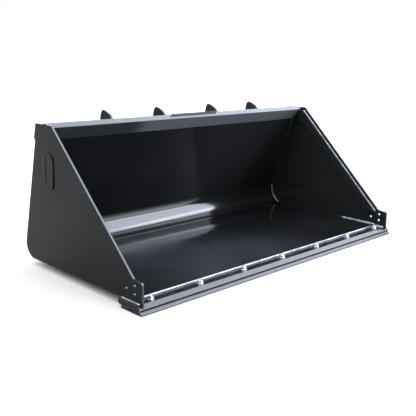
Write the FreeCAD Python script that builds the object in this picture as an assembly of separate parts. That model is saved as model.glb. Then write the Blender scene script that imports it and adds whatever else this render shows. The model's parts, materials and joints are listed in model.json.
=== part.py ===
"""Skid steer bucket: a welded steel shell with a bolt-on cutting edge and a universal quick attach.

Frame: +X across the bucket, -Y out of the open mouth, +Z up. Millimetres. The bucket stands on the ground.
Shapes are drawn with Y counted from the front of the side lugs and Z from the ground, then moved so that
the origin is the centre of the bounding box's bottom face.
"""

import FreeCAD, Part

import math
import os

Vec = FreeCAD.Vector

# ---------------------------------------------------------------- driving dimensions
PLATES_WIDTH = 1988.0          # over the outer faces of the side plates
PLATE_T = 10.0                 # side plate
SHELL_T = 8.0                  # floor, heel and back sheet
RAIL_T = 6.0                   # formed top rail
RIB_T = 12.0                   # ribs and attach parts

EDGE_OVERHANG = 17.0           # edges stick out past each side plate
BASE_EDGE_T = 25.0
BASE_EDGE_DEPTH = 152.0
BOLT_ON_T = 16.0
BOLT_ON_NOSE = 12.0            # how far the bolt-on edge leads the base edge
BOLT_ON_REAR = 130.0
BOLT_PITCH = 304.8             # 12 in hole spacing of bolt-on edges
BOLT_COUNT = 7
BOLT_Y = 46.0
BASE_BEVEL_DEPTH = 20.0        # the base edge's bevel, back from its nose
BASE_BEVEL_HEIGHT = 15.5
BASE_REAR_R = 10.0
BOLT_ON_LIP = 5.0              # height of the bolt-on edge's blunt nose
BOLT_ON_BEVEL_Y = 1.0          # where its bevel ends
EDGE_CORNER_R = 2.0            # rounding of the edges' long corners
EDGE_NOSE_R = 1.5
EDGE_FOOT_R = 1.0

PLOW_HEAD_R = 15.0             # 5/8 in plow bolt
PLOW_SHANK_R = 7.9
PLOW_NECK = 16.4               # square neck, across flats
PLOW_CONE_H = 8.5
PLOW_NECK_Z = 1.0              # where the neck starts inside the head
PLOW_TIP = 4.0                 # thread that shows above the nut
PLOW_TIP_CHAMFER = 1.2
EDGE_HOLE_R = 8.8
WASHER_GAP = 0.5               # round the shank
THREAD_GAP = 0.05
NUT_AF = 23.8
NUT_H = 12.5
WASHER_R = 16.5
WASHER_T = 3.0

TOP_Z = 748.0                  # top of the side plates
PLATE_TOP_FRONT_Y = 686.0
PLATE_TOP_REAR_Y = 825.0
PLATE_EAR_REAR_Y = 844.0       # rear foot of the ear that closes the rail's end
PLATE_EAR_Z = 672.0
EAR_STEP = 10.0
EAR_CORNER_R = 3.0
PLATE_TOP_R = 4.0
PLATE_HEEL_Y = 977.0           # where the rear edge would meet the bottom edge without its radius
PLATE_HEEL_R = 74.0
PLATE_FOOT_FRONT_Y = 4.0       # front of the lug at its foot
LUG_FRONT_Y = 7.0              # and at its top
LUG_CORNER_R = 11.0
LUG_ROOT_R = 14.0
LUG_TOP_Z = 147.0
LUG_TOP_FALL = 7.0             # its top falls this far to the front
LUG_ROOT_Y = 68.0              # where the sloping front edge meets the lug
LUG_HOLE_R = 7.0
LUG_HOLE_Y = 58.0
LUG_HOLE_LOW_Z = 81.0
LUG_HOLE_HIGH_Z = 120.0
LUG_REAR_HOLE_Y = 116.0
LUG_REAR_HOLE_Z = 95.0

STIFFENER_T = 16.0
STIFFENER_SET_BACK = 31.0      # behind the plate's sloping front edge
STIFFENER_WIDTH = 70.0
STIFFENER_FOOT_Z = 133.0
STIFFENER_FOOT_R = 12.0
STIFFENER_CUT_Z = 640.0        # where the bar narrows to meet the rail
STIFFENER_TOP_Z = 728.0
STIFFENER_GAP = 2.0            # between the bar and the rail

BADGE_FRONT_Y = 675.0
BADGE_REAR_Y = 757.0
BADGE_LOW_Z = 432.0
BADGE_HIGH_Z = 612.0
BADGE_T = 6.0
BADGE_RIM = 13.0               # width of the raised rim round the sunk field
BADGE_FIELD_T = 2.5
BADGE_ROUNDNESS = 0.45         # corner radius as a share of the badge's width

BACK_TOP_Y = 787.0             # inner face of the back sheet under the rail
BACK_TOP_Z = 661.0
BACK_LEAN = math.radians(18.1)
SHEET_RUN_ON = 12.0            # the sheet runs on past that point until it meets the rail
HEEL_R = 111.0                 # inside radius of the heel
FLOOR_LAP_Y = 80.0             # front edge of the floor sheet, lapped on the base edge

RAIL_NOSE_Y = 716.0            # front corner of the rail
RAIL_NOSE_Z = 733.0
RAIL_NOSE_R = 3.0
RAIL_CREST_Y = 757.0           # the rail's top rises from the nose to a crest and falls to the rear
RAIL_CREST_Z = 752.0
RAIL_REAR_Y = 826.0
RAIL_REAR_Z = 738.0
RAIL_BEND_R = 7.0
RAIL_FOOT_R = 2.0
RAIL_FOOT_Z = 665.0
RAIL_FOOT_LEAD = 1.0           # the front foot stands this far in front of the back sheet
RAIL_HEEL_INSET = 2.0          # the rear foot, in and up from the side plates' ear
RAIL_HEEL_RISE = 5.0

STEP_LENGTH = 360.0            # toothed grip strip on the rail
STEP_T = 5.0
STEP_PITCH = 24.0
STEP_LAND = 7.0
STEP_FLANK = 3.0
STEP_ROOT_H = 1.0              # above the rail's crest
STEP_TIP_H = 6.0
STEP_SET_IN = 11.0             # from the crest to the strip's rear face

RIB_OUTER_X = 577.5            # 1143 mm clear between the outer ribs
RIB_INNER_X = 209.0
RIB_FRONT_Y = 560.0            # where a rib reaches its full depth under the floor
RIB_DEPTH = 17.0               # of a rib below the floor
RIB_GUIDE_REACH = 46.0         # how far the outer ribs stand out behind the attach plates
RIB_REAR_Y = 862.0             # rear side of a rib behind the rail
RIB_TOE_LENGTH = 60.0          # of the shallower toe in front of that
RIB_TOE_H = 10.0
RIB_TOE_R = 4.0
RIB_HEEL_SET_BACK = 25.0       # where a rib's underside turns up, behind the heel's centre
RIB_BEND_R = 40.0
RIB_FOOT_DROP = 14.0           # an outer rib's rear side reaches below and above the attach plate
RIB_HEAD_RISE = 26.0
RIB_HEAD_DROP = 10.0           # an inner rib's stops below the plate's top
RIB_FOOT_R = 14.0
RIB_HEAD_R = 30.0
RIB_WAIST_Z = 640.0            # where the rear side turns upright under the rail
RIB_WAIST_BACK = 7.0
RIB_COVER_LOW_Z = 300.0        # corners of a rib's outline inside the shell, to be cut away
RIB_COVER_HIGH_Z = 400.0
RIB_COVER_INSET = 40.0
EAR_REAR_INSET = 8.0           # the fin's rear corner, in from the rib's rear side and below the peak
EAR_REAR_DROP = 21.0
EAR_REAR_R = 16.0
EAR_TOE_INSET = 5.0            # where the fin's front side meets the rail, in front of and below the crest
EAR_TOE_SINK = 4.0
EAR_PEAK_Y = 839.0             # the rib ends above the rail in a fin, its peak before rounding
EAR_PEAK_Z = 795.0
EAR_PEAK_R = 15.0
EAR_BROW_Y = 789.0             # where the fin's front side turns down to the crest
EAR_BROW_Z = 780.0
EAR_BROW_R = 120.0
ATTACH_LEAN = math.radians(10.0)
ATTACH_FOOT_Z = 98.0
ATTACH_FOOT_Y = 1006.0         # rear face of the attach plates at their foot
ATTACH_HEIGHT = 412.0
ATTACH_T = 10.0
PIN_SLOT_X = 457.2             # 36 in between the wedge pin slots
PIN_SLOT_LENGTH = 62.0
PIN_SLOT_WIDTH = 30.0
PIN_SLOT_SET_BACK = 14.0       # from the attach plate's face
HOOK_DROP = math.radians(38.0) # slope of the hook lip
HOOK_REACH = 52.0
HOOK_T = 12.0
HOOK_ROOT = 4.0                # level root under the lip, so that the coupler lies flat on the plate
LEDGE_REACH = 66.0
LEDGE_T = 12.0
LEDGE_LAP = 6.0                # how far the ledge runs in front of the attach plate
LEDGE_FRONT_R = 3.0
LEDGE_REAR_R = 4.0
HOOK_RISE = 3.0                # extra depth of the lip at its root
HOOK_LIP_R = 2.0
HOOK_BACK_R = 4.0
HOOK_BEND_R = 8.0
CUT_CLEAR = 5.0                # how far a cutting shape runs on past the piece

STRAP_WIDTH = 80.0
STRAP_X = 640.0
STRAP_CHAMFER = 18.0
STRAP_END_T = 9.0
STRAP_R = 4.0
STRAP_GAP = 6.0                # between a strap and the base edge
STRAP_REAR_INSET = 20.0        # from the heel's centre
SHOE_REAR_INSET = 25.0         # from the strap's rear end
SHOE_LENGTH = 240.0
SHOE_NOSE = 12.0               # length of the bevel at each end of a shoe
SHOE_NOSE_Z = 7.0
SHOE_CORNER_R = 2.0
SHOE_SOLE_R = 3.0
SHOE_BOLT_R = 6.0
SHOE_BOLT_INSET = 50.0
SHOE_HEAD_H = 7.0
FIT_GAP = 0.2                  # round the countersunk bolts

# ---------------------------------------------------------------- derived dimensions
PLATE_OUT_X = PLATES_WIDTH / 2
INNER_X = PLATE_OUT_X - PLATE_T
EDGE_X = PLATE_OUT_X + EDGE_OVERHANG
EDGE_TOP_Z = BOLT_ON_T + BASE_EDGE_T
FLOOR_TOP_Z = EDGE_TOP_Z + SHELL_T
BACK_SLOPE = math.tan(BACK_LEAN)
LEAN_COS = math.cos(BACK_LEAN)
LEAN_SIN = math.sin(BACK_LEAN)
SHEET_TOP_Y = BACK_TOP_Y - SHEET_RUN_ON * LEAN_SIN
SHEET_TOP_Z = BACK_TOP_Z + SHEET_RUN_ON * LEAN_COS
HEEL_Z = FLOOR_TOP_Z + HEEL_R
HEEL_Y = BACK_TOP_Y + (BACK_TOP_Z - HEEL_Z - HEEL_R * LEAN_SIN) * BACK_SLOPE - HEEL_R * LEAN_COS
FRONT_EDGE_SLOPE = (PLATE_TOP_FRONT_Y - LUG_ROOT_Y) / (TOP_Z - LUG_TOP_Z)
RAIL_SLOPE = (BACK_TOP_Y - RAIL_NOSE_Y) / (RAIL_NOSE_Z - BACK_TOP_Z)
ATTACH_INNER_X = RIB_INNER_X + RIB_T / 2
ATTACH_OUTER_X = RIB_OUTER_X - RIB_T / 2
STRAP_FRONT_Y = BASE_EDGE_DEPTH + STRAP_GAP
STRAP_REAR_Y = HEEL_Y - STRAP_REAR_INSET
SHOE_REAR_Y = STRAP_REAR_Y - SHOE_REAR_INSET
SHOE_FRONT_Y = SHOE_REAR_Y - SHOE_LENGTH
SHOE_BOLTS_Y = (SHOE_FRONT_Y + SHOE_BOLT_INSET, SHOE_REAR_Y - SHOE_BOLT_INSET)


# ---------------------------------------------------------------- helpers
def outline_face(points):
    """A flat face in the Y-Z plane at X = 0. points are (y, z), or (y, z, radius) for a rounded corner."""
    count = len(points)
    starts = []
    ends = []
    middles = []
    for i, point in enumerate(points):
        here = Vec(0, point[0], point[1])
        radius = point[2] if len(point) > 2 else 0.0
        if radius == 0.0:
            starts.append(here)
            ends.append(here)
            middles.append(None)
            continue
        before = points[i - 1]
        after = points[(i + 1) % count]
        to_before = (Vec(0, before[0], before[1]) - here).normalize()
        to_after = (Vec(0, after[0], after[1]) - here).normalize()
        half = to_before.getAngle(to_after) / 2
        reach = radius / math.tan(half)
        centre = here + (to_before + to_after).normalize() * (radius / math.sin(half))
        starts.append(here + to_before * reach)
        ends.append(here + to_after * reach)
        middles.append(centre + (here - centre).normalize() * radius)
    edges = []
    for i in range(count):
        if middles[i] is not None:
            edges.append(Part.Arc(starts[i], middles[i], ends[i]).toShape())
        next_start = starts[(i + 1) % count]
        if ends[i].distanceToPoint(next_start) > 1e-6:
            edges.append(Part.LineSegment(ends[i], next_start).toShape())
    return Part.Face(Part.Wire(edges))


def profile_solid(points, x_low, x_high):
    """The outline drawn through X from x_low to x_high."""
    solid = outline_face(points).extrude(Vec(x_high - x_low, 0, 0))
    solid.translate(Vec(x_low, 0, 0))
    return solid


def x_hole(radius, x_low, x_high, y, z):
    return Part.makeCylinder(radius, x_high - x_low, Vec(x_low, y, z), Vec(1, 0, 0))


def box_between(low, high):
    size = Vec(*high) - Vec(*low)
    return Part.makeBox(size.x, size.y, size.z, Vec(*low))


def hex_prism(across_flats, height, centre):
    """A hexagonal prism standing on centre, with its corners chamfered at the top as on a real nut."""
    corner_r = across_flats / math.sqrt(3)
    corners = []
    for i in range(7):
        angle = math.radians(60 * i)
        corners.append(Vec(corner_r * math.cos(angle), corner_r * math.sin(angle), 0))
    prism = Part.Face(Part.makePolygon(corners)).extrude(Vec(0, 0, height))
    chamfer = corner_r - across_flats / 2
    cone = Part.makeCone(corner_r + height - chamfer / 2, across_flats / 2 + chamfer / 2, height)
    prism = prism.common(cone)
    prism.translate(Vec(*centre))
    return prism


def mirrored(shape):
    return shape.mirror(Vec(0, 0, 0), Vec(1, 0, 0))


def heel_point(radius, angle):
    """(y, z) on a circle about the heel's centre. Angle 0 points back, -90 degrees points down."""
    return HEEL_Y + radius * math.cos(angle), HEEL_Z + radius * math.sin(angle)


def attach_point(up, back):
    """(y, z) of a point up along the attach plates' rear face from its foot, and back out of that face."""
    y = ATTACH_FOOT_Y - up * math.sin(ATTACH_LEAN) + back * math.cos(ATTACH_LEAN)
    z = ATTACH_FOOT_Z + up * math.cos(ATTACH_LEAN) + back * math.sin(ATTACH_LEAN)
    return y, z


# ---------------------------------------------------------------- shell and sides
def shell_sheet():
    """One sheet bent into floor, heel and back, its top edge trimmed to the underside of the rail."""
    outer_r = HEEL_R + SHELL_T
    middle = (BACK_LEAN - math.pi / 2) / 2
    inner_low = Vec(0, HEEL_Y, FLOOR_TOP_Z)
    outer_low = Vec(0, HEEL_Y, FLOOR_TOP_Z - SHELL_T)
    inner_mid = Vec(0, *heel_point(HEEL_R, middle))
    outer_mid = Vec(0, *heel_point(outer_r, middle))
    inner_high = Vec(0, *heel_point(HEEL_R, BACK_LEAN))
    outer_high = Vec(0, *heel_point(outer_r, BACK_LEAN))
    inner_top = Vec(0, SHEET_TOP_Y, SHEET_TOP_Z)
    outer_top = Vec(0, SHEET_TOP_Y + SHELL_T * LEAN_COS, SHEET_TOP_Z + SHELL_T * LEAN_SIN)
    inner_front = Vec(0, FLOOR_LAP_Y, FLOOR_TOP_Z)
    outer_front = Vec(0, FLOOR_LAP_Y, FLOOR_TOP_Z - SHELL_T)
    edges = [
        Part.LineSegment(inner_front, inner_low).toShape(),
        Part.Arc(inner_low, inner_mid, inner_high).toShape(),
        Part.LineSegment(inner_high, inner_top).toShape(),
        Part.LineSegment(inner_top, outer_top).toShape(),
        Part.LineSegment(outer_top, outer_high).toShape(),
        Part.Arc(outer_high, outer_mid, outer_low).toShape(),
        Part.LineSegment(outer_low, outer_front).toShape(),
        Part.LineSegment(outer_front, inner_front).toShape(),
    ]
    solid = Part.Face(Part.Wire(edges)).extrude(Vec(2 * INNER_X, 0, 0))
    solid.translate(Vec(-INNER_X, 0, 0))
    return solid.cut(profile_solid(rail_corners(), -PLATE_OUT_X, PLATE_OUT_X))


def side_plate():
    """The right side plate, with its side cutter lug and three bolt holes."""
    ear_foot_y = PLATE_EAR_REAR_Y - EAR_STEP
    front_foot_z = EDGE_TOP_Z - BASE_BEVEL_HEIGHT * (1 - PLATE_FOOT_FRONT_Y / BASE_BEVEL_DEPTH)
    points = [
        (BASE_BEVEL_DEPTH, EDGE_TOP_Z),
        (PLATE_FOOT_FRONT_Y, front_foot_z),
        (LUG_FRONT_Y, LUG_TOP_Z - LUG_TOP_FALL, LUG_CORNER_R),
        (LUG_ROOT_Y, LUG_TOP_Z, LUG_ROOT_R),
        (PLATE_TOP_FRONT_Y, TOP_Z),
        (PLATE_TOP_REAR_Y, TOP_Z, PLATE_TOP_R),
        (PLATE_EAR_REAR_Y, PLATE_EAR_Z, EAR_CORNER_R),
        (ear_foot_y, PLATE_EAR_Z - EAR_STEP),
        (PLATE_HEEL_Y, EDGE_TOP_Z, PLATE_HEEL_R),
    ]
    plate = profile_solid(points, INNER_X, PLATE_OUT_X)
    for y, z in (
        (LUG_HOLE_Y, LUG_HOLE_LOW_Z),
        (LUG_HOLE_Y, LUG_HOLE_HIGH_Z),
        (LUG_REAR_HOLE_Y, LUG_REAR_HOLE_Z),
    ):
        plate = plate.cut(x_hole(LUG_HOLE_R, INNER_X, PLATE_OUT_X, y, z))
    return plate


def side_stiffener():
    """Flat bar welded inside the right plate, set back from its sloping front edge."""

    def front_y(z):
        return LUG_ROOT_Y + (z - LUG_TOP_Z) * FRONT_EDGE_SLOPE + STIFFENER_SET_BACK

    points = [
        (front_y(STIFFENER_FOOT_Z), STIFFENER_FOOT_Z),
        (front_y(STIFFENER_FOOT_Z) + STIFFENER_WIDTH, STIFFENER_FOOT_Z, STIFFENER_FOOT_R),
        (front_y(STIFFENER_CUT_Z) + STIFFENER_WIDTH, STIFFENER_CUT_Z),
        (rail_front_y(RAIL_FOOT_Z) - STIFFENER_GAP, RAIL_FOOT_Z),
        (rail_front_y(STIFFENER_TOP_Z) - STIFFENER_GAP, STIFFENER_TOP_Z),
        (front_y(STIFFENER_TOP_Z), STIFFENER_TOP_Z),
    ]
    return profile_solid(points, INNER_X - STIFFENER_T, INNER_X)


def badge_plate():
    """Blank badge on the outside of the right side plate: a raised rim round a sunk field, without a mark."""

    def capsule(inset):
        front = BADGE_FRONT_Y + inset
        rear = BADGE_REAR_Y - inset
        low = BADGE_LOW_Z + inset
        high = BADGE_HIGH_Z - inset
        radius = (rear - front) * BADGE_ROUNDNESS
        return [(front, low, radius), (front, high, radius), (rear, high, radius), (rear, low, radius)]

    badge = profile_solid(capsule(0.0), PLATE_OUT_X, PLATE_OUT_X + BADGE_T)
    return badge.cut(profile_solid(capsule(BADGE_RIM), PLATE_OUT_X + BADGE_FIELD_T, PLATE_OUT_X + BADGE_T))


# ---------------------------------------------------------------- top rail
def rail_front_y(z):
    """Y of the rail's sloping front face at height z."""
    return RAIL_NOSE_Y + (RAIL_NOSE_Z - z) * RAIL_SLOPE


def rail_corners():
    """(y, z, bend radius) of the rail's outer corners: front foot, nose, crest, rear top, rear foot."""
    return [
        (rail_front_y(RAIL_FOOT_Z) - RAIL_FOOT_LEAD, RAIL_FOOT_Z, RAIL_FOOT_R),
        (RAIL_NOSE_Y, RAIL_NOSE_Z, RAIL_NOSE_R),
        (RAIL_CREST_Y, RAIL_CREST_Z, RAIL_BEND_R),
        (RAIL_REAR_Y, RAIL_REAR_Z, RAIL_BEND_R),
        (PLATE_EAR_REAR_Y - RAIL_HEEL_INSET, PLATE_EAR_Z + RAIL_HEEL_RISE, RAIL_FOOT_R),
    ]


def top_rail():
    """Formed five-sided tube along the top of the back sheet, open at its ends against the side plates."""
    outer = outline_face(rail_corners())
    sharp = outline_face([(y, z) for y, z, radius in rail_corners()])
    wall = sharp.makeOffset2D(-RAIL_T)
    ring = outer.cut(Part.Face(wall.Wires[0]))
    solid = ring.extrude(Vec(2 * INNER_X, 0, 0))
    solid.translate(Vec(-INNER_X, 0, 0))
    return solid.Solids[0]


def step_strip():
    """Toothed grip strip standing on the rail in front of its crest, between the inner ribs."""
    foot_y = RAIL_CREST_Y - STEP_SET_IN - STEP_T
    root_z = RAIL_CREST_Z + STEP_ROOT_H
    tip_z = RAIL_CREST_Z + STEP_TIP_H
    points = [Vec(-STEP_LENGTH / 2, foot_y, RAIL_NOSE_Z)]
    for i in range(int(STEP_LENGTH / STEP_PITCH)):
        left = -STEP_LENGTH / 2 + i * STEP_PITCH
        points.append(Vec(left, foot_y, root_z))
        points.append(Vec(left + STEP_LAND, foot_y, root_z))
        points.append(Vec(left + STEP_LAND + STEP_FLANK, foot_y, tip_z))
        points.append(Vec(left + STEP_PITCH - STEP_FLANK, foot_y, tip_z))
    points.append(Vec(STEP_LENGTH / 2, foot_y, root_z))
    points.append(Vec(STEP_LENGTH / 2, foot_y, RAIL_NOSE_Z))
    points.append(points[0])
    strip = Part.Face(Part.makePolygon(points)).extrude(Vec(0, STEP_T, 0))
    return strip.cut(profile_solid(rail_corners(), -STEP_LENGTH, STEP_LENGTH))


# ---------------------------------------------------------------- cutting edge
def bolt_positions():
    half = (BOLT_COUNT - 1) / 2
    return [(i - half) * BOLT_PITCH for i in range(BOLT_COUNT)]


def base_edge():
    """Welded cutting edge with a bevelled nose and seven through holes."""
    points = [
        (0.0, BOLT_ON_T, EDGE_CORNER_R),
        (0.0, EDGE_TOP_Z - BASE_BEVEL_HEIGHT, EDGE_NOSE_R),
        (BASE_BEVEL_DEPTH, EDGE_TOP_Z, EDGE_CORNER_R),
        (BASE_EDGE_DEPTH, EDGE_TOP_Z),
        (BASE_EDGE_DEPTH, BOLT_ON_T, BASE_REAR_R),
    ]
    edge = profile_solid(points, -EDGE_X, EDGE_X)
    for x in bolt_positions():
        edge = edge.cut(Part.makeCylinder(EDGE_HOLE_R, BASE_EDGE_T, Vec(x, BOLT_Y, BOLT_ON_T)))
    return edge


def plow_socket(x, gap):
    """The space that a plow bolt's head and square neck take in the bolt-on edge."""
    cone = Part.makeCone(PLOW_HEAD_R + gap, PLOW_NECK / 2 + gap, PLOW_CONE_H, Vec(x, BOLT_Y, 0))
    half = PLOW_NECK / 2 + gap
    neck = box_between((x - half, BOLT_Y - half, PLOW_NECK_Z), (x + half, BOLT_Y + half, BOLT_ON_T))
    return cone.fuse(neck)


def bolt_on_edge():
    """Replaceable edge under the base edge, bevelled at the front, with countersunk square holes."""
    points = [
        (-BOLT_ON_NOSE, 0.0, EDGE_FOOT_R),
        (-BOLT_ON_NOSE, BOLT_ON_LIP, EDGE_CORNER_R),
        (BOLT_ON_BEVEL_Y, BOLT_ON_T, EDGE_NOSE_R),
        (BOLT_ON_REAR, BOLT_ON_T, EDGE_CORNER_R),
        (BOLT_ON_REAR, 0.0, EDGE_CORNER_R),
    ]
    edge = profile_solid(points, -EDGE_X, EDGE_X)
    for x in bolt_positions():
        edge = edge.cut(plow_socket(x, FIT_GAP))
    return edge


def plow_bolt(x):
    """Plow bolt with its flush head, square neck and a shank whose tip is chamfered."""
    tip_z = EDGE_TOP_Z + WASHER_T + NUT_H + PLOW_TIP
    plain_h = tip_z - BOLT_ON_T - PLOW_TIP_CHAMFER
    shank = Part.makeCylinder(PLOW_SHANK_R, plain_h, Vec(x, BOLT_Y, BOLT_ON_T))
    tip_foot = Vec(x, BOLT_Y, tip_z - PLOW_TIP_CHAMFER)
    tip = Part.makeCone(PLOW_SHANK_R, PLOW_SHANK_R - PLOW_TIP_CHAMFER, PLOW_TIP_CHAMFER, tip_foot)
    return plow_socket(x, 0.0).fuse(shank).fuse(tip).removeSplitter()


def edge_washer(x):
    outer = Part.makeCylinder(WASHER_R, WASHER_T, Vec(x, BOLT_Y, EDGE_TOP_Z))
    return outer.cut(Part.makeCylinder(PLOW_SHANK_R + WASHER_GAP, WASHER_T, Vec(x, BOLT_Y, EDGE_TOP_Z)))


def edge_nut(x):
    foot_z = EDGE_TOP_Z + WASHER_T
    nut = hex_prism(NUT_AF, NUT_H, (x, BOLT_Y, foot_z))
    return nut.cut(Part.makeCylinder(PLOW_SHANK_R + THREAD_GAP, NUT_H, Vec(x, BOLT_Y, foot_z)))


# ---------------------------------------------------------------- ribs and quick attach
def rib(x, guides_coupler):
    """Upright rib outside the shell, from the heel over the rail. Outer ribs also flank the coupler."""
    back_reach = RIB_GUIDE_REACH if guides_coupler else -ATTACH_T
    foot_up = -RIB_FOOT_DROP if guides_coupler else 0.0
    top_up = ATTACH_HEIGHT + (RIB_HEAD_RISE if guides_coupler else -RIB_HEAD_DROP)
    toe_y = RIB_FRONT_Y - RIB_TOE_LENGTH
    outline = [
        (RIB_FRONT_Y, EDGE_TOP_Z - RIB_DEPTH, RIB_TOE_R),
        (HEEL_Y + RIB_HEEL_SET_BACK, EDGE_TOP_Z - RIB_DEPTH, RIB_BEND_R),
        attach_point(foot_up, back_reach) + (RIB_FOOT_R,),
        attach_point(top_up, back_reach) + (RIB_HEAD_R,),
        (RIB_REAR_Y + RIB_WAIST_BACK, RIB_WAIST_Z, RIB_BEND_R),
        (RIB_REAR_Y, RAIL_REAR_Z, RIB_HEAD_R),
        (RIB_REAR_Y - EAR_REAR_INSET, EAR_PEAK_Z - EAR_REAR_DROP, EAR_REAR_R),
        (EAR_PEAK_Y, EAR_PEAK_Z, EAR_PEAK_R),
        (EAR_BROW_Y, EAR_BROW_Z, EAR_BROW_R),
        (RAIL_CREST_Y - EAR_TOE_INSET, RAIL_CREST_Z - EAR_TOE_SINK),
        (BACK_TOP_Y, RAIL_REAR_Z - EAR_TOE_SINK),
        (HEEL_Y - RIB_COVER_INSET, RIB_COVER_HIGH_Z),
        (toe_y, RIB_COVER_LOW_Z),
        (toe_y, EDGE_TOP_Z - RIB_TOE_H),
    ]
    body = profile_solid(outline, x - RIB_T / 2, x + RIB_T / 2)
    return body.cut(shell_envelope())


def shell_envelope():
    """Everything inside the outer faces of floor, heel, back sheet and rail."""
    outer_r = HEEL_R + SHELL_T
    high = heel_point(outer_r, BACK_LEAN)
    top_z = SHEET_TOP_Z + SHELL_T * LEAN_SIN
    width = INNER_X
    straight = [
        (FLOOR_LAP_Y, EDGE_TOP_Z),
        (HEEL_Y, EDGE_TOP_Z),
        (HEEL_Y, HEEL_Z),
        high,
        (SHEET_TOP_Y + SHELL_T * LEAN_COS, top_z),
        (FLOOR_LAP_Y, top_z),
    ]
    block = profile_solid(straight, -width, width)
    heel = x_hole(outer_r, -width, width, HEEL_Y, HEEL_Z)
    rail = profile_solid(rail_corners(), -width, width)
    front = box_between((-width, FLOOR_LAP_Y, EDGE_TOP_Z), (width, rail_corners()[0][0], RAIL_NOSE_Z))
    return block.fuse(heel).fuse(rail).fuse(front)


def attach_plate():
    """Right-hand mounting plate between an inner and an outer rib, which the coupler's face lies on."""
    points = [
        attach_point(0.0, -ATTACH_T),
        attach_point(0.0, 0.0),
        attach_point(ATTACH_HEIGHT, 0.0),
        attach_point(ATTACH_HEIGHT, -ATTACH_T),
    ]
    return profile_solid(points, ATTACH_INNER_X, ATTACH_OUTER_X)


def hook_lip():
    """Right-hand upper hook: a bar that leans back and down from the plate's top, over the coupler's edge."""
    drop_sin = math.sin(HOOK_DROP)
    drop_cos = math.cos(HOOK_DROP)
    tip_up = ATTACH_HEIGHT - HOOK_REACH * drop_sin
    tip_back = HOOK_ROOT + HOOK_REACH * drop_cos
    top_up = ATTACH_HEIGHT + HOOK_T / drop_cos + HOOK_RISE
    points = [
        attach_point(ATTACH_HEIGHT, -ATTACH_T),
        attach_point(ATTACH_HEIGHT, HOOK_ROOT),
        attach_point(tip_up, tip_back) + (HOOK_LIP_R,),
        attach_point(tip_up + HOOK_T * drop_cos, tip_back + HOOK_T * drop_sin) + (HOOK_BACK_R,),
        attach_point(top_up, HOOK_ROOT) + (HOOK_BEND_R,),
        attach_point(top_up, -ATTACH_T),
    ]
    return profile_solid(points, ATTACH_INNER_X, ATTACH_OUTER_X)


def pin_ledge():
    """Right-hand lower ledge with the slot that the coupler's wedge pin drops through."""
    front = -ATTACH_T - LEDGE_LAP
    points = [
        attach_point(-LEDGE_T, front) + (LEDGE_FRONT_R,),
        attach_point(-LEDGE_T, LEDGE_REACH) + (LEDGE_REAR_R,),
        attach_point(0.0, LEDGE_REACH) + (LEDGE_REAR_R,),
        attach_point(0.0, front) + (LEDGE_FRONT_R,),
    ]
    ledge = profile_solid(points, ATTACH_INNER_X, ATTACH_OUTER_X)
    slot_rear = PIN_SLOT_SET_BACK + PIN_SLOT_WIDTH
    half = PIN_SLOT_LENGTH / 2
    slot = [
        attach_point(-LEDGE_T - CUT_CLEAR, PIN_SLOT_SET_BACK),
        attach_point(-LEDGE_T - CUT_CLEAR, slot_rear),
        attach_point(CUT_CLEAR, slot_rear),
        attach_point(CUT_CLEAR, PIN_SLOT_SET_BACK),
    ]
    return ledge.cut(profile_solid(slot, PIN_SLOT_X - half, PIN_SLOT_X + half))


# ---------------------------------------------------------------- underside
def strap_positions():
    return (-STRAP_X, 0.0, STRAP_X)


def wear_strap(x):
    """Flat bar under the floor, chamfered at both ends, as deep as the base edge."""
    points = [
        (STRAP_FRONT_Y, EDGE_TOP_Z),
        (STRAP_FRONT_Y, EDGE_TOP_Z - STRAP_END_T),
        (STRAP_FRONT_Y + STRAP_CHAMFER, BOLT_ON_T, STRAP_R),
        (STRAP_REAR_Y - STRAP_CHAMFER, BOLT_ON_T, STRAP_R),
        (STRAP_REAR_Y, EDGE_TOP_Z - STRAP_END_T),
        (STRAP_REAR_Y, EDGE_TOP_Z),
    ]
    strap = profile_solid(points, x - STRAP_WIDTH / 2, x + STRAP_WIDTH / 2)
    for y in SHOE_BOLTS_Y:
        strap = strap.cut(Part.makeCylinder(SHOE_BOLT_R, BASE_EDGE_T - STRAP_END_T, Vec(x, y, BOLT_ON_T)))
    return strap


def shoe_socket(x, y, gap):
    """The space that a countersunk shoe bolt's head takes in a heel shoe."""
    return Part.makeCone(SHOE_BOLT_R * 2 + gap, SHOE_BOLT_R + gap, SHOE_HEAD_H, Vec(x, y, 0))


def heel_shoe(x):
    """Replaceable pad under a wear strap, as thick as the bolt-on edge, so that the bucket stands level."""
    points = [
        (SHOE_FRONT_Y, BOLT_ON_T),
        (SHOE_FRONT_Y, SHOE_NOSE_Z, SHOE_CORNER_R),
        (SHOE_FRONT_Y + SHOE_NOSE, 0.0, SHOE_SOLE_R),
        (SHOE_REAR_Y - SHOE_NOSE, 0.0, SHOE_SOLE_R),
        (SHOE_REAR_Y, SHOE_NOSE_Z, SHOE_CORNER_R),
        (SHOE_REAR_Y, BOLT_ON_T),
    ]
    shoe = profile_solid(points, x - STRAP_WIDTH / 2, x + STRAP_WIDTH / 2)
    for y in SHOE_BOLTS_Y:
        shoe = shoe.cut(shoe_socket(x, y, FIT_GAP))
        shoe = shoe.cut(Part.makeCylinder(SHOE_BOLT_R + FIT_GAP, BOLT_ON_T, Vec(x, y, 0)))
    return shoe


def shoe_bolt(x, y):
    """Countersunk bolt up through a shoe into its wear strap."""
    shank = Part.makeCylinder(SHOE_BOLT_R, BASE_EDGE_T + BOLT_ON_T - STRAP_END_T, Vec(x, y, 0))
    return shoe_socket(x, y, 0.0).fuse(shank).removeSplitter()


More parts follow.
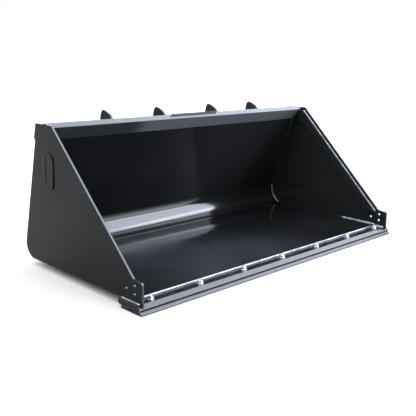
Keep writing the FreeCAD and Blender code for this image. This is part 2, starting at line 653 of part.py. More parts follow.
# ---------------------------------------------------------------- assembly
def nodes():
    """Every node of the bucket, by name, in the drawing frame."""
    parts = {
        "shell_sheet": shell_sheet(),
        "top_rail": top_rail(),
        "step_strip": step_strip(),
        "base_edge": base_edge(),
        "bolt_on_edge": bolt_on_edge(),
    }
    one_side = {
        "side_plate": side_plate(),
        "side_stiffener": side_stiffener(),
        "badge_plate": badge_plate(),
        "rib_outer": rib(RIB_OUTER_X, True),
        "rib_inner": rib(RIB_INNER_X, False),
        "attach_plate": attach_plate(),
        "hook_lip": hook_lip(),
        "pin_ledge": pin_ledge(),
    }
    for name, shape in one_side.items():
        parts[name + "_right"] = shape
        parts[name + "_left"] = mirrored(shape)
    for place, x in zip(("left", "centre", "right"), strap_positions()):
        parts["wear_strap_" + place] = wear_strap(x)
    parts["heel_shoes"] = Part.makeCompound([heel_shoe(x) for x in strap_positions()])
    parts["shoe_bolts"] = Part.makeCompound(
        [shoe_bolt(x, y) for x in strap_positions() for y in SHOE_BOLTS_Y]
    )
    parts["plow_bolts"] = Part.makeCompound([plow_bolt(x) for x in bolt_positions()])
    parts["edge_washers"] = Part.makeCompound([edge_washer(x) for x in bolt_positions()])
    parts["edge_nuts"] = Part.makeCompound([edge_nut(x) for x in bolt_positions()])
    return parts


def main():
    parts = nodes()
    whole = Part.makeCompound(list(parts.values()))
    bounds = whole.BoundBox
    shift = Vec(0, -(bounds.YMin + bounds.YMax) / 2, -bounds.ZMin)
    os.makedirs("parts", exist_ok=True)
    for name, shape in parts.items():
        shape.translate(shift)
        shape.exportStep(os.path.join("parts", name + ".step"))
    print("moved by", round(shift.y, 3), round(shift.z, 3))
    print("size", round(bounds.XLength, 2), round(bounds.YLength, 2), round(bounds.ZLength, 2))


main()
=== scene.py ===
"""Looks of the skid steer bucket: black paint, worn cutting edge, plated fasteners and weld beads."""

import json
import math

import bpy
import bmesh
from mathutils import Matrix, Vector


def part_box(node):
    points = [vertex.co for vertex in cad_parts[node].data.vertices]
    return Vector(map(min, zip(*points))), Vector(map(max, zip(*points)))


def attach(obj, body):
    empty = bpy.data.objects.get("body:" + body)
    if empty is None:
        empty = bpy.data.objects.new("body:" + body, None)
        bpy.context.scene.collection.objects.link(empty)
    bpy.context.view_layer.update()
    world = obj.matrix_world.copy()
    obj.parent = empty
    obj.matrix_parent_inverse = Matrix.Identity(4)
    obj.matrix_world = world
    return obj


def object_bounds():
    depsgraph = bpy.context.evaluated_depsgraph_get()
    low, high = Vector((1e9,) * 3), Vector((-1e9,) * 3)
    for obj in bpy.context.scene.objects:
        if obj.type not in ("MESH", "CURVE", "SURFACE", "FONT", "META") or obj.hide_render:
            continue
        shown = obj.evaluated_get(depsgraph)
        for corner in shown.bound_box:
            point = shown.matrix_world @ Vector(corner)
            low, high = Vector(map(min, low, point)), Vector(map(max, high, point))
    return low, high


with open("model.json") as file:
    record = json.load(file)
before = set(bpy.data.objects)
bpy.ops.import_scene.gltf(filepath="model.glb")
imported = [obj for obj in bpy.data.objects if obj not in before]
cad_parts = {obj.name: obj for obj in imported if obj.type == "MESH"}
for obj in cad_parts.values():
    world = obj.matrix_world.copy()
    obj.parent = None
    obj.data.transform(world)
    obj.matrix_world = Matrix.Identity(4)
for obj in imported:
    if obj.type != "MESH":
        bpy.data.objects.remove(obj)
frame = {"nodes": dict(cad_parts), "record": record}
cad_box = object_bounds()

NODES = frame["nodes"]

# ---------------------------------------------------------------- places read from the CAD nodes
SHELL_LOW, SHELL_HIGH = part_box("shell_sheet")
EDGE_LOW, EDGE_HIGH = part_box("base_edge")
RAIL_LOW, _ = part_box("top_rail")
_, PLATE_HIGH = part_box("side_plate_right")
ATTACH_LOW, ATTACH_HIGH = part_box("attach_plate_right")

SHELL_T = 0.008                            # floor, heel and back sheet
HEEL_R = 0.111                             # inside radius of the heel
BACK_LEAN = math.radians(18.1)
BEVEL_DEPTH = 0.020                        # the base edge's bevel
ATTACH_T = 0.010
ATTACH_LEAN = math.radians(10.0)

INNER_X = SHELL_HIGH.x                     # inner face of the right side plate
FLOOR_FRONT_Y = SHELL_LOW.y
EDGE_TOP_Z = EDGE_HIGH.z
FLOOR_TOP_Z = EDGE_TOP_Z + SHELL_T
HEEL_Z = FLOOR_TOP_Z + HEEL_R
HEEL_Y = SHELL_HIGH.y - HEEL_R - SHELL_T   # the heel's outside is the shell's rearmost point
SHELL_TOP_Z = SHELL_HIGH.z
ATTACH_HEIGHT = (ATTACH_HIGH.z - ATTACH_LOW.z - ATTACH_T * math.sin(ATTACH_LEAN)) / math.cos(ATTACH_LEAN)


def corner(name, key):
    """The node's vertex for which key is least."""
    return min((v.co.copy() for v in NODES[name].data.vertices), key=key)


def attach_point(up, back):
    """(y, z) in the frame of the attach plates: up from their rear foot, back out of their rear face."""
    foot_y = ATTACH_HIGH.y
    foot_z = ATTACH_LOW.z + ATTACH_T * math.sin(ATTACH_LEAN)
    y = foot_y - up * math.sin(ATTACH_LEAN) + back * math.cos(ATTACH_LEAN)
    z = foot_z + up * math.cos(ATTACH_LEAN) + back * math.sin(ATTACH_LEAN)
    return y, z


# ---------------------------------------------------------------- node graph helpers
def node(tree, kind, inputs=None, **settings):
    """A shader node. inputs maps socket names or numbers to values or to other nodes' output sockets."""
    made = tree.nodes.new(kind)
    for key, value in settings.items():
        setattr(made, key, value)
    for key, value in (inputs or {}).items():
        if isinstance(value, bpy.types.NodeSocket):
            tree.links.new(value, made.inputs[key])
        else:
            made.inputs[key].default_value = value
    return made


def noise(tree, coords, scale, detail=3.0, roughness=0.5, distortion=0.0):
    made = node(
        tree, "ShaderNodeTexNoise",
        {
            "Vector": coords, "Scale": scale, "Detail": detail,
            "Roughness": roughness, "Distortion": distortion,
        },
    )
    return made.outputs["Fac"]


def remap(tree, value, low, high, to_low=0.0, to_high=1.0):
    """value between low and high, smoothly carried to to_low .. to_high."""
    made = node(
        tree, "ShaderNodeMapRange",
        {"Value": value, "From Min": low, "From Max": high, "To Min": to_low, "To Max": to_high},
        interpolation_type="SMOOTHSTEP",
    )
    return made.outputs["Result"]


def math_node(tree, operation, a, b=0.0, clamp=False):
    made = node(tree, "ShaderNodeMath", {0: a, 1: b}, operation=operation, use_clamp=clamp)
    return made.outputs[0]


def times(tree, a, b):
    return math_node(tree, "MULTIPLY", a, b)


def mix_colour(tree, factor, a, b):
    made = node(tree, "ShaderNodeMix", data_type="RGBA")
    for place, value in ((0, factor), (6, a), (7, b)):
        if isinstance(value, bpy.types.NodeSocket):
            tree.links.new(value, made.inputs[place])
        else:
            made.inputs[place].default_value = value
    return made.outputs[2]


def layered(tree, colour, layers):
    """colour with each (mask, strength, tone) laid over it in turn."""
    for mask, strength, tone in layers:
        colour = mix_colour(tree, times(tree, mask, strength), colour, tone)
    return colour


def raised(tree, value, rises):
    """value plus each mask times its amount."""
    for mask, amount in rises:
        value = math_node(tree, "ADD", value, times(tree, mask, amount))
    return value


def dimmed(tree, value, dims):
    """value, brought down to the share least where a mask is 1, for each (mask, least)."""
    for mask, least in dims:
        value = times(tree, value, remap(tree, mask, 0.0, 1.0, 1.0, least))
    return value


def tint(level, blue=0.0):
    """A grey of that level, leaning to blue by that share."""
    return (level * (1 - blue), level, level * (1 + 1.6 * blue), 1.0)


def stretched(tree, coords, x, y, z):
    made = node(tree, "ShaderNodeMapping", {"Vector": coords, "Scale": (x, y, z)})
    return made.outputs["Vector"]


def face_normal(tree):
    return node(tree, "ShaderNodeNewGeometry").outputs["Normal"]


def facing(tree, axis, low, high):
    """Smooth 0 to 1 as the named component of the face's normal goes from low to high."""
    part = node(tree, "ShaderNodeSeparateXYZ", {0: face_normal(tree)}).outputs[axis]
    return remap(tree, part, low, high)


def sideways(tree):
    """1 on faces that look left or right."""
    return math_node(tree, "ADD", facing(tree, "X", 0.5, 0.8), facing(tree, "X", -0.5, -0.8), clamp=True)


def new_material(name):
    material = bpy.data.materials.new(name)
    material.use_nodes = True
    tree = material.node_tree
    tree.nodes.clear()
    coords = node(tree, "ShaderNodeTexCoord").outputs["Object"]
    return material, tree, coords


def edge_mask(tree, coords, radius, patchiness):
    """1 on outer and inner corners, broken up by noise, and the normal rounded by radius."""
    rounded = node(tree, "ShaderNodeBevel", {"Radius": radius}, samples=4).outputs["Normal"]
    bend = node(tree, "ShaderNodeVectorMath", {0: rounded, 1: face_normal(tree)}, operation="DOT_PRODUCT")
    corners = remap(tree, bend.outputs["Value"], 0.985, 0.86)
    broken = remap(tree, noise(tree, coords, patchiness, detail=5.0, roughness=0.65), 0.42, 0.62)
    return times(tree, corners, broken), rounded


def finish_material(tree, colour, roughness, metallic, height, bump_distance, normal, specular=0.5):
    """The shader and its output. Each look may be a value or an output socket."""
    bumped = node(
        tree, "ShaderNodeBump",
        {"Height": height, "Distance": bump_distance, "Strength": 1.0, "Normal": normal},
    ).outputs["Normal"]
    shader = node(
        tree, "ShaderNodeBsdfPrincipled",
        {
            "Base Color": colour, "Roughness": roughness, "Metallic": metallic,
            "Specular IOR Level": specular, "Normal": bumped,
        },
    )
    node(tree, "ShaderNodeOutputMaterial", {"Surface": shader.outputs[0]})


# ---------------------------------------------------------------- materials
HEAP_CENTRE = (-0.30, -0.26, 0.0)          # of the dust where loads lie, X shrunk by HEAP_STRETCH
HEAP_STRETCH = 0.75
HEAP_REACH = 0.72
HEEL_DULL_Y = (0.0, 0.16)                  # the floor loses gloss from here to here, towards the heel
FILL_LIGHT_X = (-0.10, 0.26)                  # upright faces turn slightly greyer from here to here: painted light that fills the shade the right side plate casts
UNDER_REFLECTION_X = (-0.46, -0.32)                    # the rail's front and other downward faces carry more painted reflected light from here to here


def body_paint():
    """Gloss black over rolled plate: orange peel, haze, dust where loads lie, corners rubbed grey; painted
    fill light on upright faces at the right and painted reflected light under downward faces.
    """
    material, tree, coords = new_material("body_paint")
    corners, rounded = edge_mask(tree, coords, radius=0.0025, patchiness=26.0)
    place = node(tree, "ShaderNodeSeparateXYZ", {0: coords}).outputs

    level = facing(tree, "Z", 0.85, 0.97)
    under = facing(tree, "Z", -0.5, -0.65)
    back_slope = times(tree, level, facing(tree, "Y", 0.08, 0.16))
    near_heel = times(tree, level, remap(tree, place["Y"], *HEEL_DULL_Y))
    # painted fill light: upright faces lightened towards the right, in the shade of the right side plate
    painted_fill_light = math_node(
        tree, "SUBTRACT", remap(tree, place["X"], *FILL_LIGHT_X), times(tree, level, 0.85), clamp=True
    )
    # painted reflection: downward faces lightened as if lit by the bright ground, a quarter as much at the
    # left end
    painted_under_reflection = times(tree, under, remap(tree, place["X"], *UNDER_REFLECTION_X, to_low=0.25))

    drift_field = noise(
        tree, stretched(tree, coords, 1.0, 1.4, 1.0), 1.6, detail=2.0, roughness=0.4, distortion=0.4
    )
    from_heap = node(
        tree, "ShaderNodeVectorMath",
        {0: stretched(tree, coords, HEAP_STRETCH, 1.0, 0.0), 1: HEAP_CENTRE}, operation="DISTANCE",
    ).outputs["Value"]
    heap = times(tree, remap(tree, from_heap, HEAP_REACH, 0.05), remap(tree, drift_field, 0.25, 0.75, 0.35))
    dust = times(tree, level, math_node(tree, "MAXIMUM", heap, back_slope))
    scratch_field = noise(tree, stretched(tree, coords, 26.0, 2.2, 9.0), 3.0, roughness=0.55, distortion=0.2)
    scratches = times(tree, remap(tree, scratch_field, 0.66, 0.72), level)
    specks = remap(tree, noise(tree, coords, 240.0, detail=2.0), 0.64, 0.76)
    haze = remap(tree, noise(tree, coords, 1.7, detail=2.0, roughness=0.45, distortion=0.5), 0.38, 0.66)

    black = mix_colour(tree, haze, tint(0.0035, 0.10), tint(0.006, 0.10))
    colour = layered(tree, black, (
        # painted fill light on upright faces at the right
        (painted_fill_light, 1.0, tint(0.0120, 0.06)),
        # painted reflection under downward faces
        (painted_under_reflection, 1.0, tint(0.105, 0.08)),
        (dust, 0.8, tint(0.036, 0.10)),
        (scratches, 0.16, tint(0.10, 0.05)),
        (specks, 0.06, tint(0.10)),
        (corners, 0.45, tint(0.26, 0.03)),
    ))
    sheen = remap(tree, haze, 0.0, 1.0, 0.06, 0.11)
    roughness = raised(tree, sheen, ((dust, 0.10), (under, 0.35), (back_slope, 0.45)))
    gloss = remap(tree, facing(tree, "Z", -0.25, -0.02), 0.0, 1.0, 0.05, 0.60)
    specular = dimmed(tree, gloss, ((back_slope, 0.2), (near_heel, 0.5), (sideways(tree), 0.15)))
    peel = noise(tree, coords, 170.0, detail=2.0)
    height = raised(tree, noise(tree, coords, 7.0, detail=2.0), ((peel, 0.04),))
    finish_material(tree, colour, roughness, 0.0, height, 0.0006, rounded, specular)
    return material


def edge_paint():
    """Satin black on edge steel: mill scale, lengthwise scuffs, corners worn to bright metal."""
    material, tree, coords = new_material("edge_paint")
    corners, rounded = edge_mask(tree, coords, radius=0.003, patchiness=18.0)
    scuff_lines = noise(tree, stretched(tree, coords, 3.0, 60.0, 60.0), 4.0, detail=5.0, roughness=0.7)
    scuffs = remap(tree, scuff_lines, 0.60, 0.74)
    scale = noise(tree, coords, 14.0, detail=6.0, roughness=0.6, distortion=0.3)
    upright = facing(tree, "Z", 0.45, 0.2)
    paint = mix_colour(tree, remap(tree, scale, 0.35, 0.7), tint(0.009, 0.10), tint(0.015, 0.12))
    colour = layered(tree, paint, (
        (scuffs, 0.14, tint(0.09, 0.06)),
        (corners, 0.7, tint(0.40, 0.03)),
    ))
    sheen = remap(tree, scale, 0.3, 0.75, 0.13, 0.22)
    roughness = raised(tree, sheen, ((upright, 0.3),))
    specular = remap(tree, upright, 0.0, 1.0, 0.50, 0.08)
    height = raised(tree, scale, ((scuff_lines, 0.3),))
    finish_material(tree, colour, roughness, times(tree, corners, 0.6), height, 0.0005, rounded, specular)
    return material


def bolt_zinc():
    """Bright zinc plate, faintly cloudy, with fine scratches and darker corners."""
    material, tree, coords = new_material("bolt_zinc")
    corners, rounded = edge_mask(tree, coords, radius=0.0012, patchiness=60.0)
    cloud = noise(tree, coords, 45.0, detail=4.0, roughness=0.6)
    scratch = noise(tree, stretched(tree, coords, 900.0, 40.0, 300.0), 1.0, detail=2.0)
    plate = mix_colour(tree, cloud, (0.60, 0.62, 0.66, 1), (0.82, 0.82, 0.80, 1))
    colour = layered(tree, plate, ((corners, 0.3, tint(0.5)),))
    roughness = remap(tree, cloud, 0.3, 0.7, 0.20, 0.34)
    finish_material(tree, colour, roughness, 0.95, scratch, 0.0001, rounded)
    return material


def weld_paint():
    """Black paint over a rippled bead."""
    material, tree, coords = new_material("weld_paint")
    patches = remap(tree, noise(tree, coords, 22.0, detail=4.0, roughness=0.6), 0.40, 0.62)
    grain = noise(tree, coords, 420.0, roughness=0.6)
    colour = mix_colour(tree, patches, tint(0.008, 0.1), tint(0.020, 0.08))
    roughness = remap(tree, grain, 0.3, 0.7, 0.16, 0.28)
    finish_material(tree, colour, roughness, 0.0, grain, 0.0002, face_normal(tree), 0.35)
    return material


def weld_painted_highlight():
    """The beads round the mouth, partly rubbed by loads and partly painted highlight: drawn far lighter than
    the painted welds to stand in for the light they catch, with paint left in patches and silvery steel
    between them.
    """
    material, tree, coords = new_material("weld_painted_highlight")
    bare = remap(tree, noise(tree, coords, 16.0, detail=4.0, roughness=0.6), 0.30, 0.52)
    grain = noise(tree, coords, 420.0, roughness=0.6)
    colour = mix_colour(tree, bare, tint(0.12, 0.10), tint(0.32, 0.09))
    roughness = remap(tree, grain, 0.3, 0.7, 0.24, 0.38)
    finish_material(tree, colour, roughness, times(tree, bare, 0.6), grain, 0.0002, face_normal(tree), 0.6)
    return material


MATERIALS = {
    "body_paint": body_paint(),
    "edge_paint": edge_paint(),
    "bolt_zinc": bolt_zinc(),
}
WELD_PAINT = weld_paint()
# the lighter weld material: a painted highlight on the beads that catch light
WELD_PAINTED_HIGHLIGHT = weld_painted_highlight()


def dress_nodes():
    """Every CAD node gets the material of its record slot."""
    for part in frame["record"]["subparts"]:
        obj = NODES[part["node"]]
        obj.data.materials.clear()
        obj.data.materials.append(MATERIALS[part["material_slot"]])


# ---------------------------------------------------------------- weld beads
# A leg is a bead's radius about the corner line that it fills.
MOUTH_LEG = 0.0056                         # the floor's front edge on the base edge
MOUTH_LIFT = 0.003                         # its centre line above the base edge
FOOT_LEG = 0.0085                          # the foot of the side plates, inside
FOOT_LEAD = 0.002                          # it starts this far in front of the bevel's top
FOOT_RAMP = 0.012                          # length of its slope up from the base edge to the floor
FOOT_HIGHLIGHT_LENGTH = 0.25                         # and of its part on the floor drawn with the painted highlight
SEAM_LEG = 0.0045                          # the shell's and the rail's ends against the side plates
OUTSIDE_LEG = 0.006
OUTSIDE_START = 0.010                      # from the heel's centre back to the bead behind the shell
LAP_LEG = 0.007                            # the base edge's rear side under the floor
RAIL_NOSE_OFFSET = (0.002, 0.001)          # (y, z) of the rail bead's ends from the rail's nose and crest
RAIL_CREST_OFFSET = (-0.012, -0.006)
RIB_LEG = 0.0055
RIB_TOE_GAP = 0.008                        # from a rib's front end to its bead
RIB_SHEET_GAP = 0.004                      # from the back sheet's top to the bead's turn
RIB_CREST_OFFSET = (0.004, -0.001)
ATTACH_LEG = 0.006
LEDGE_LEG = 0.005
LEDGE_LENGTH = 0.062
STRAP_LEG = 0.006
STRAP_GAP = 0.004                          # from a strap's end to its bead
STIFFENER_LEG = 0.006

BEAD_SIDES = 8
RIPPLE_PITCH = 0.007
RINGS_PER_RIPPLE = 3
RIPPLE_DEPTH = 0.16                        # as a share of the leg
SWELLS = ((0.05, 61.0), (0.03, 173.0))     # slower swells: share of the leg, radians per metre
END_SHARE = 0.55                           # an end ring's share of the leg, and the gain per ring
END_GAIN = 0.15
SIDE_HINT = Vector((0.31, 0.57, 0.76))     # a direction that no bead runs along
HEEL_STEPS = 14                            # straight pieces of a bead round the heel
BRIGHT_FROM = 4                            # the points of that bead between which it is drawn with the painted highlight
BRIGHT_TO = -2


def along(points, step):
    """Points about step apart along a run of straight lines, with the length run so far at each."""
    out = [(points[0], 0.0)]
    run = 0.0
    for a, b in zip(points, points[1:]):
        length = (b - a).length
        count = max(1, round(length / step))
        for i in range(1, count + 1):
            out.append((a.lerp(b, i / count), run + length * i / count))
        run += length
    return out


def add_bead(mesh, points, leg):
    """A rippled weld bead on a corner line: a tube whose hidden half lies in the plates that it joins."""
    rings = along([Vector(p) for p in points], RIPPLE_PITCH / RINGS_PER_RIPPLE)
    made = []
    for i, (centre, run) in enumerate(rings):
        before = rings[max(i - 1, 0)][0]
        after = rings[min(i + 1, len(rings) - 1)][0]
        tangent = (after - before).normalized()
        across = tangent.cross(SIDE_HINT).normalized()
        other = tangent.cross(across)
        swell = 1.0 - RIPPLE_DEPTH * ((run / RIPPLE_PITCH) % 1.0)
        for share, rate in SWELLS:
            swell += share * math.sin(run * rate)
        from_end = min(i, len(rings) - 1 - i)
        radius = leg * swell * min(1.0, END_SHARE + END_GAIN * from_end)
        ring = []
        for k in range(BEAD_SIDES):
            angle = 2 * math.pi * k / BEAD_SIDES
            outward = across * math.cos(angle) + other * math.sin(angle)
            ring.append(mesh.verts.new(centre + outward * radius))
        made.append(ring)
    for a, b in zip(made, made[1:]):
        for k in range(BEAD_SIDES):
            after_k = (k + 1) % BEAD_SIDES
            mesh.faces.new((a[k], a[after_k], b[after_k], b[k]))
    mesh.faces.new(list(reversed(made[0])))
    mesh.faces.new(made[-1])


def beads(name, runs, material):
    """One piece with a bead for each (points, leg) in runs."""
    mesh = bmesh.new()
    for points, leg in runs:
        add_bead(mesh, points, leg)
    bmesh.ops.recalc_face_normals(mesh, faces=mesh.faces)
    for face in mesh.faces:
        face.smooth = True
    data = bpy.data.meshes.new(name)
    mesh.to_mesh(data)
    mesh.free()
    obj = bpy.data.objects.new(name, data)
    bpy.context.scene.collection.objects.link(obj)
    data.materials.append(material)
    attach(obj, "root")


def at_x(x, profile):
    return [(x, y, z) for y, z in profile]


def moved(point, offset):
    """(y, z) of a vertex moved by the offset."""
    return point.y + offset[0], point.z + offset[1]


def shell_profile(offset, low_y, top_z):
    """(y, z) along the sheet, offset outwards from its inner face, from low_y on the floor to top_z."""
    radius = HEEL_R + offset
    points = [(low_y, FLOOR_TOP_Z - offset)] if low_y < HEEL_Y else []
    for i in range(HEEL_STEPS + 1):
        angle = -math.pi / 2 + (BACK_LEAN + math.pi / 2) * i / HEEL_STEPS
        points.append((HEEL_Y + radius * math.cos(angle), HEEL_Z + radius * math.sin(angle)))
    last_y, last_z = points[-1]
    points.append((last_y - (top_z - last_z) * math.tan(BACK_LEAN), top_z))
    return points


def shell_welds():
    """Beads inside the bucket, and behind it where the sheet meets the side plates."""
    mouth_z = EDGE_TOP_Z + MOUTH_LIFT
    # the beads in mouth are drawn in the lighter weld material, a painted highlight
    mouth = [([(-INNER_X, FLOOR_FRONT_Y, mouth_z), (INNER_X, FLOOR_FRONT_Y, mouth_z)], MOUTH_LEG)]
    inside = []
    outside = []
    foot_y = EDGE_LOW.y + BEVEL_DEPTH
    foot_highlight_end_y = FLOOR_FRONT_Y + FOOT_HIGHLIGHT_LENGTH
    foot = [
        (foot_y - FOOT_LEAD, EDGE_TOP_Z),
        (FLOOR_FRONT_Y, EDGE_TOP_Z),
        (FLOOR_FRONT_Y + FOOT_RAMP, FLOOR_TOP_Z),
        (foot_highlight_end_y, FLOOR_TOP_Z),
    ]
    nose = corner("top_rail", lambda v: v.y)
    crest = corner("top_rail", lambda v: -v.z)
    rail_end = [moved(nose, RAIL_NOSE_OFFSET), moved(crest, RAIL_CREST_OFFSET)]
    seam = shell_profile(0.0, foot_highlight_end_y, RAIL_LOW.z)
    outside_seam = shell_profile(SHELL_T, HEEL_Y + OUTSIDE_START, SHELL_TOP_Z)
    overhang_seam = [(foot_y, EDGE_TOP_Z), (EDGE_HIGH.y, EDGE_TOP_Z)]
    for side in (-1, 1):
        x = side * INNER_X
        mouth.append((at_x(x, foot), FOOT_LEG))
        inside.append((at_x(x, seam[:BRIGHT_FROM + 1]), SEAM_LEG))
        mouth.append((at_x(x, seam[BRIGHT_FROM:BRIGHT_TO]), SEAM_LEG))
        inside.append((at_x(x, seam[BRIGHT_TO - 1:]), SEAM_LEG))
        outside.append((at_x(x, outside_seam), OUTSIDE_LEG))
        mouth.append((at_x(side * PLATE_HIGH.x, overhang_seam), OUTSIDE_LEG))
        mouth.append((at_x(x, rail_end), SEAM_LEG))
    outside.append(([(-INNER_X, EDGE_HIGH.y, EDGE_TOP_Z), (INNER_X, EDGE_HIGH.y, EDGE_TOP_Z)], LAP_LEG))
    beads("weld_mouth", mouth, WELD_PAINTED_HIGHLIGHT)
    beads("weld_inside", inside, WELD_PAINT)
    beads("weld_outside", outside, WELD_PAINT)


def rail_profile():
    """(y, z) round the outside of the rail: its rear foot, its rear top and its crest."""
    rear_foot = corner("top_rail", lambda v: -v.y)
    rear_top = corner("top_rail", lambda v: -v.y - 1.5 * v.z)
    crest = corner("top_rail", lambda v: -v.z)
    return [(rear_foot.y, rear_foot.z), (rear_top.y, rear_top.z), moved(crest, RIB_CREST_OFFSET)]


def rib_welds():
    """Beads down both faces of each rib, over the heel, the back sheet and the rail."""
    runs = []
    for name in ("rib_outer_left", "rib_inner_left", "rib_inner_right", "rib_outer_right"):
        low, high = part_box(name)
        seam = shell_profile(SHELL_T, low.y + RIB_TOE_GAP, SHELL_TOP_Z - RIB_SHEET_GAP) + rail_profile()
        for x in (low.x, high.x):
            runs.append((at_x(x, seam), RIB_LEG))
    beads("weld_ribs", runs, WELD_PAINT)


def attach_welds():
    """Beads round the attach plates, the hooks and the pin ledges."""
    runs = []
    for side in (-1, 1):
        inner = side * ATTACH_LOW.x
        outer = side * ATTACH_HIGH.x
        front_seam = [attach_point(0.0, -ATTACH_T), attach_point(ATTACH_HEIGHT, -ATTACH_T)]
        ledge_seam = [attach_point(0.0, 0.0), attach_point(0.0, LEDGE_LENGTH)]
        for x in (inner, outer):
            runs.append((at_x(x, front_seam), ATTACH_LEG))
            runs.append((at_x(x, ledge_seam), LEDGE_LEG))
        for y, z in front_seam:
            runs.append(([(inner, y, z), (outer, y, z)], ATTACH_LEG))
    beads("weld_attach", runs, WELD_PAINT)


def strap_welds():
    """Beads along both sides of each wear strap."""
    runs = []
    for name in ("wear_strap_left", "wear_strap_centre", "wear_strap_right"):
        low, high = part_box(name)
        seam = [(low.y + STRAP_GAP, EDGE_TOP_Z), (high.y - STRAP_GAP, EDGE_TOP_Z)]
        for x in (low.x, high.x):
            runs.append((at_x(x, seam), STRAP_LEG))
    beads("weld_straps", runs, WELD_PAINT)


def stiffener_welds():
    """A bead down the front of each bar inside the side plates."""
    runs = []
    for side, word in ((-1, "left"), (1, "right")):
        name = "side_stiffener_" + word
        x = side * INNER_X
        foot = corner(name, lambda v: v.y)
        top = corner(name, lambda v: v.y - 4 * v.z)
        runs.append(([(x, foot.y, foot.z), (x, top.y, top.z)], STIFFENER_LEG))
    # drawn in the lighter weld material: a painted highlight down each bar's front
    beads("weld_stiffeners", runs, WELD_PAINTED_HIGHLIGHT)


# ---------------------------------------------------------------- studio
CAMERA_PLACE = Vector((-2.6875, -2.5972, 1.1162))
CAMERA_YAW = math.radians(45.08)           # from +Y towards +X
CAMERA_PITCH = math.radians(13.45)         # below the horizon
CAMERA_ROLL = math.radians(-1.27)
CAMERA_LENS = 57.43
SENSOR_WIDTH = 36.0

GLOW = 0.29                                # light from everywhere
COOL_LIGHT = (0.80, 0.875, 1.0, 1)
WHITE_LIGHT = (0.97, 0.98, 1.0, 1)
# Far soft panels: azimuth, half width, low and high elevation in degrees, strength.
COOL_PANELS = (
    (106.0, 21.0, 30.0, 66.0, 7.2),        # high, front right
    (134.0, 16.0, -4.0, 46.0, 9.8),        # tall, front right
    (45.0, 42.0, 0.0, 26.0, 2.6),          # low, behind
    (58.0, 22.0, 26.0, 52.0, 4.3),         # high, behind
)
WHITE_PANELS = (
    (280.0, 50.0, 25.0, 66.0, 4.4),        # left
    (0.0, 177.0, 67.0, 86.0, 6.8),         # overhead
)
PANEL_SOFTNESS = 3.0                       # degrees on either side of a panel's edge

FLOOR_HALF = 60.0
FLOOR_TONES = ((0.533, 0.525, 0.517, 1), (0.553, 0.545, 0.537, 1))


def direction(azimuth, elevation):
    """Unit vector; azimuth in degrees from +Y towards +X."""
    a, e = math.radians(azimuth), math.radians(elevation)
    return Vector((math.sin(a) * math.cos(e), math.cos(a) * math.cos(e), math.sin(e)))


def make_camera():
    forward = direction(math.degrees(CAMERA_YAW), -math.degrees(CAMERA_PITCH))
    level = Vector((math.cos(CAMERA_YAW), -math.sin(CAMERA_YAW), 0))
    down = forward.cross(level)
    right = level * math.cos(CAMERA_ROLL) + down * math.sin(CAMERA_ROLL)
    up = right.cross(forward)
    data = bpy.data.cameras.new("camera")
    data.lens = CAMERA_LENS
    data.sensor_width = SENSOR_WIDTH
    camera = bpy.data.objects.new("camera", data)
    camera.matrix_world = Matrix((
        (right.x, up.x, -forward.x, CAMERA_PLACE.x),
        (right.y, up.y, -forward.y, CAMERA_PLACE.y),
        (right.z, up.z, -forward.z, CAMERA_PLACE.z),
        (0, 0, 0, 1),
    ))
    bpy.context.scene.collection.objects.link(camera)
    bpy.context.scene.camera = camera


def cosine(angle):
    return math.cos(math.radians(angle))


def sine(angle):
    return math.sin(math.radians(angle))


def softbox(tree, ray, azimuth, half_width, low, high, strength):
    """Brightness of a far soft panel in the direction ray, between two elevations; all angles in degrees."""
    soft = PANEL_SOFTNESS
    flat = node(tree, "ShaderNodeVectorMath", {0: ray, 1: (1, 1, 0)}, operation="MULTIPLY").outputs["Vector"]
    level = node(tree, "ShaderNodeVectorMath", {0: flat}, operation="NORMALIZE").outputs["Vector"]
    aim = node(tree, "ShaderNodeVectorMath", {0: level, 1: direction(azimuth, 0)}, operation="DOT_PRODUCT")
    height = node(tree, "ShaderNodeSeparateXYZ", {0: ray}).outputs["Z"]
    across = remap(tree, aim.outputs["Value"], cosine(half_width + soft), cosine(half_width - soft))
    above = remap(tree, height, sine(low - soft), sine(low + soft))
    below = remap(tree, height, sine(high + soft), sine(high - soft))
    return times(tree, times(tree, across, times(tree, above, below)), strength)


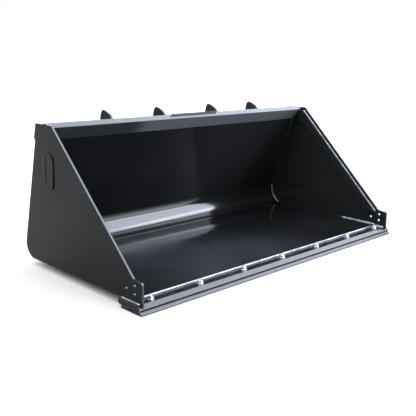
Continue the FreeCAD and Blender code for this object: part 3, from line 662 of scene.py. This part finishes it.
def panel_light(tree, ray, panels, glow, colour):
    """Background shader for a row of panels over an even glow."""
    strength = glow
    for panel in panels:
        strength = math_node(tree, "ADD", softbox(tree, ray, *panel), strength)
    return node(tree, "ShaderNodeBackground", {"Color": colour, "Strength": strength}).outputs[0]


def make_world():
    """Plain white where the camera looks past the floor; soft panels light the bucket and the floor."""
    world = bpy.data.worlds.new("studio")
    world.use_nodes = True
    tree = world.node_tree
    tree.nodes.clear()
    ray = node(tree, "ShaderNodeTexCoord").outputs["Generated"]
    cool = panel_light(tree, ray, COOL_PANELS, 0.0, COOL_LIGHT)
    white = panel_light(tree, ray, WHITE_PANELS, GLOW, WHITE_LIGHT)
    lit = node(tree, "ShaderNodeAddShader", {0: cool, 1: white})
    seen = node(tree, "ShaderNodeBackground", {"Color": (1, 1, 1, 1), "Strength": 1.0})
    direct = node(tree, "ShaderNodeLightPath").outputs["Is Camera Ray"]
    mixed = node(tree, "ShaderNodeMixShader", {0: direct, 1: lit.outputs[0], 2: seen.outputs[0]})
    node(tree, "ShaderNodeOutputWorld", {"Surface": mixed.outputs[0]})
    bpy.context.scene.world = world


def make_floor():
    material, tree, coords = new_material("floor")
    tone = mix_colour(tree, noise(tree, coords, 0.8, detail=2.0), *FLOOR_TONES)
    finish_material(tree, tone, 0.9, 0.0, noise(tree, coords, 60.0), 0.0001, face_normal(tree), 0.1)
    mesh = bmesh.new()
    bmesh.ops.create_grid(mesh, x_segments=8, y_segments=8, size=FLOOR_HALF)
    data = bpy.data.meshes.new("floor")
    mesh.to_mesh(data)
    mesh.free()
    floor = bpy.data.objects.new("floor", data)
    floor.location.z = cad_box[0].z
    data.materials.append(material)
    bpy.context.scene.collection.objects.link(floor)


def studio():
    make_camera()
    make_world()
    make_floor()
    scene = bpy.context.scene
    scene.view_settings.view_transform = "Standard"
    scene.view_settings.look = "None"


# ---------------------------------------------------------------- build
dress_nodes()
shell_welds()
rib_welds()
attach_welds()
strap_welds()
stiffener_welds()
studio()
